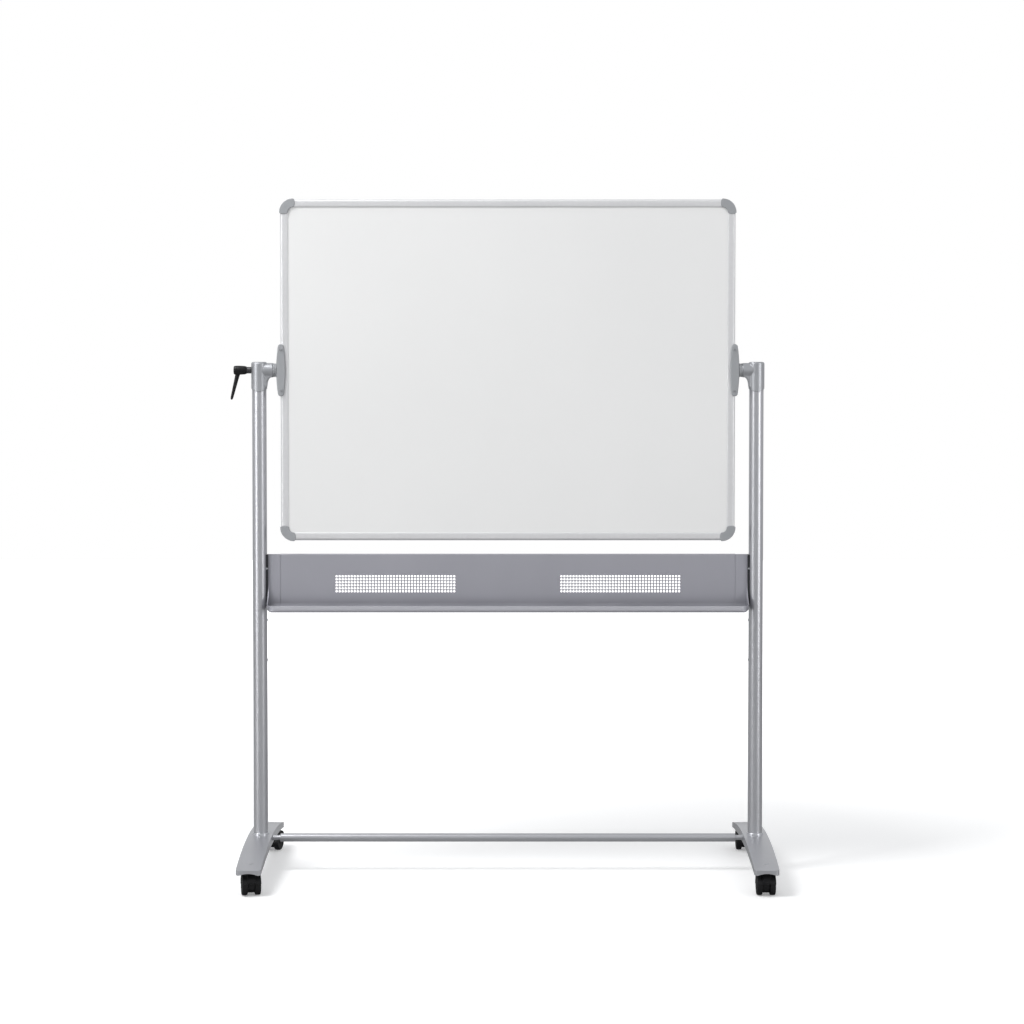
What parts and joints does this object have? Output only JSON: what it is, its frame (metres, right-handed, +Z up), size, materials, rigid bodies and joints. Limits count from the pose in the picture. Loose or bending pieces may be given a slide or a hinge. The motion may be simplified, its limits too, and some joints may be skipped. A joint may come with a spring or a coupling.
{
  "type": "rolling whiteboard",
  "caption": "Double-sided whiteboard that turns end over end between two posts on arched feet with twin-wheel casters, with a pen tray, a cross bar and a clamp lever.",
  "frame": {"origin": "on the floor, at the centre of the object's footprint, which the clamp lever on the left makes wider than the feet, so the posts stand 22.5 mm off its middle", "axes": "+Z up, +X to the right of a person who faces the side with the pen tray, +Y away from that person"},
  "size_m": [1.4222, 0.6, 1.7848],
  "materials": {
    "white_enamel": "gloss white vitreous enamel",
    "honeycomb_core": "kraft paper honeycomb",
    "anodised_frame": "satin silver anodised",
    "grey_plastic": "fine moulded grain, mid grey",
    "silver_paint": "satin silver powder coat",
    "cast_silver": "silver painted die casting",
    "tray_paint": "satin grey powder coat",
    "black_plastic": "satin black nylon",
    "packing_strip": "dull black",
    "black_steel": "black oxide",
    "zinc_steel": "bright zinc plate"
  },
  "bodies": {
    "stand": {"post_left": "silver_paint", "post_right": "silver_paint", "head_bracket_left": "cast_silver", "head_bracket_right": "cast_silver", "pivot_washer_left": "grey_plastic", "pivot_washer_right": "grey_plastic", "foot_left": "silver_paint", "foot_right": "silver_paint", "foot_bolt_left": "zinc_steel", "foot_bolt_right": "zinc_steel", "cross_bar": "silver_paint", "pen_tray": "tray_paint", "tray_end_cap_left": "grey_plastic", "tray_end_cap_right": "grey_plastic", "tray_spacer_left": "packing_strip", "tray_spacer_right": "packing_strip", "caster_stem_front_left": "zinc_steel", "caster_stem_front_right": "zinc_steel", "caster_stem_rear_left": "zinc_steel", "caster_stem_rear_right": "zinc_steel"},
    "board": {"board_core": "honeycomb_core", "writing_sheet_front": "white_enamel", "writing_sheet_back": "white_enamel", "frame_rail_top": "anodised_frame", "frame_rail_bottom": "anodised_frame", "frame_rail_left": "anodised_frame", "frame_rail_right": "anodised_frame", "corner_cap_top_left": "grey_plastic", "corner_cap_top_right": "grey_plastic", "corner_cap_bottom_left": "grey_plastic", "corner_cap_bottom_right": "grey_plastic", "pivot_housing_left": "grey_plastic", "pivot_housing_right": "grey_plastic", "pivot_shaft_left": "zinc_steel", "pivot_shaft_right": "zinc_steel", "housing_screw_left_top": "zinc_steel", "housing_screw_left_bottom": "zinc_steel", "housing_screw_right_top": "zinc_steel", "housing_screw_right_bottom": "zinc_steel"},
    "clamp_screw": {"clamp_stud": "black_steel", "lever_screw": "zinc_steel"},
    "clamp_lever": {"clamp_lever": "black_plastic"},
    "caster_front_left": {"caster_body_front_left": "black_plastic", "caster_axle_front_left": "zinc_steel"},
    "caster_wheel_a_front_left": {"caster_wheel_a_front_left": "black_plastic"},
    "caster_wheel_b_front_left": {"caster_wheel_b_front_left": "black_plastic"},
    "brake_pedal_front_left": {"brake_pedal_front_left": "black_plastic"},
    "caster_front_right": {"caster_body_front_right": "black_plastic", "caster_axle_front_right": "zinc_steel"},
    "caster_wheel_a_front_right": {"caster_wheel_a_front_right": "black_plastic"},
    "caster_wheel_b_front_right": {"caster_wheel_b_front_right": "black_plastic"},
    "brake_pedal_front_right": {"brake_pedal_front_right": "black_plastic"},
    "caster_rear_left": {"caster_body_rear_left": "black_plastic", "caster_axle_rear_left": "zinc_steel"},
    "caster_wheel_a_rear_left": {"caster_wheel_a_rear_left": "black_plastic"},
    "caster_wheel_b_rear_left": {"caster_wheel_b_rear_left": "black_plastic"},
    "caster_rear_right": {"caster_body_rear_right": "black_plastic", "caster_axle_rear_right": "zinc_steel"},
    "caster_wheel_a_rear_right": {"caster_wheel_a_rear_right": "black_plastic"},
    "caster_wheel_b_rear_right": {"caster_wheel_b_rear_right": "black_plastic"}
  },
  "joints": [
    {"name": "board_turn", "type": "hinge", "parent": "stand", "child": "board", "pos_m": [0.0225, 0, 1.333], "axis": [1, 0, 0], "continuous": true},
    {"name": "clamp_turn", "type": "hinge", "parent": "stand", "child": "clamp_screw", "pos_m": [-0.6775, 0, 1.333], "axis": [-1, 0, 0], "range_deg": [0, 180]},
    {"name": "lever_lift", "type": "slide", "parent": "clamp_screw", "child": "clamp_lever", "axis": [-1, 0, 0], "range_m": [0, 0.004], "stiffness_N_per_m": 600},
    {"name": "caster_swivel_front_left", "type": "hinge", "parent": "stand", "child": "caster_front_left", "pos_m": [-0.6345, -0.25, 0.05], "axis": [0, 0, 1], "continuous": true},
    {"name": "wheel_a_spin_front_left", "type": "hinge", "parent": "caster_front_left", "child": "caster_wheel_a_front_left", "pos_m": [-0.63117, -0.26565, 0.025], "axis": [0.9781, 0.2079, 0], "continuous": true},
    {"name": "wheel_b_spin_front_left", "type": "hinge", "parent": "caster_front_left", "child": "caster_wheel_b_front_left", "pos_m": [-0.63117, -0.26565, 0.025], "axis": [0.9781, 0.2079, 0], "continuous": true},
    {"name": "brake_front_left", "type": "hinge", "parent": "caster_front_left", "child": "brake_pedal_front_left", "pos_m": [-0.62919, -0.27499, 0.05439], "axis": [-0.9781, -0.2079, 0], "range_deg": [0, 18]},
    {"name": "caster_swivel_front_right", "type": "hinge", "parent": "stand", "child": "caster_front_right", "pos_m": [0.6795, -0.25, 0.05], "axis": [0, 0, 1], "continuous": true},
    {"name": "wheel_a_spin_front_right", "type": "hinge", "parent": "caster_front_right", "child": "caster_wheel_a_front_right", "pos_m": [0.6795, -0.266, 0.025], "axis": [1, 0, 0], "continuous": true},
    {"name": "wheel_b_spin_front_right", "type": "hinge", "parent": "caster_front_right", "child": "caster_wheel_b_front_right", "pos_m": [0.6795, -0.266, 0.025], "axis": [1, 0, 0], "continuous": true},
    {"name": "brake_front_right", "type": "hinge", "parent": "caster_front_right", "child": "brake_pedal_front_right", "pos_m": [0.6795, -0.27555, 0.05439], "axis": [-1, 0, 0], "range_deg": [0, 18]},
    {"name": "caster_swivel_rear_left", "type": "hinge", "parent": "stand", "child": "caster_rear_left", "pos_m": [-0.6345, 0.25, 0.05], "axis": [0, 0, 1], "continuous": true},
    {"name": "wheel_a_spin_rear_left", "type": "hinge", "parent": "caster_rear_left", "child": "caster_wheel_a_rear_left", "pos_m": [-0.63036, 0.26545, 0.025], "axis": [-0.9659, 0.2588, 0], "continuous": true},
    {"name": "wheel_b_spin_rear_left", "type": "hinge", "parent": "caster_rear_left", "child": "caster_wheel_b_rear_left", "pos_m": [-0.63036, 0.26545, 0.025], "axis": [-0.9659, 0.2588, 0], "continuous": true},
    {"name": "caster_swivel_rear_right", "type": "hinge", "parent": "stand", "child": "caster_rear_right", "pos_m": [0.6795, 0.25, 0.05], "axis": [0, 0, 1], "continuous": true},
    {"name": "wheel_a_spin_rear_right", "type": "hinge", "parent": "caster_rear_right", "child": "caster_wheel_a_rear_right", "pos_m": [0.6795, 0.266, 0.025], "axis": [-1, 0, 0], "continuous": true},
    {"name": "wheel_b_spin_rear_right", "type": "hinge", "parent": "caster_rear_right", "child": "caster_wheel_b_rear_right", "pos_m": [0.6795, 0.266, 0.025], "axis": [-1, 0, 0], "continuous": true}
  ]
}
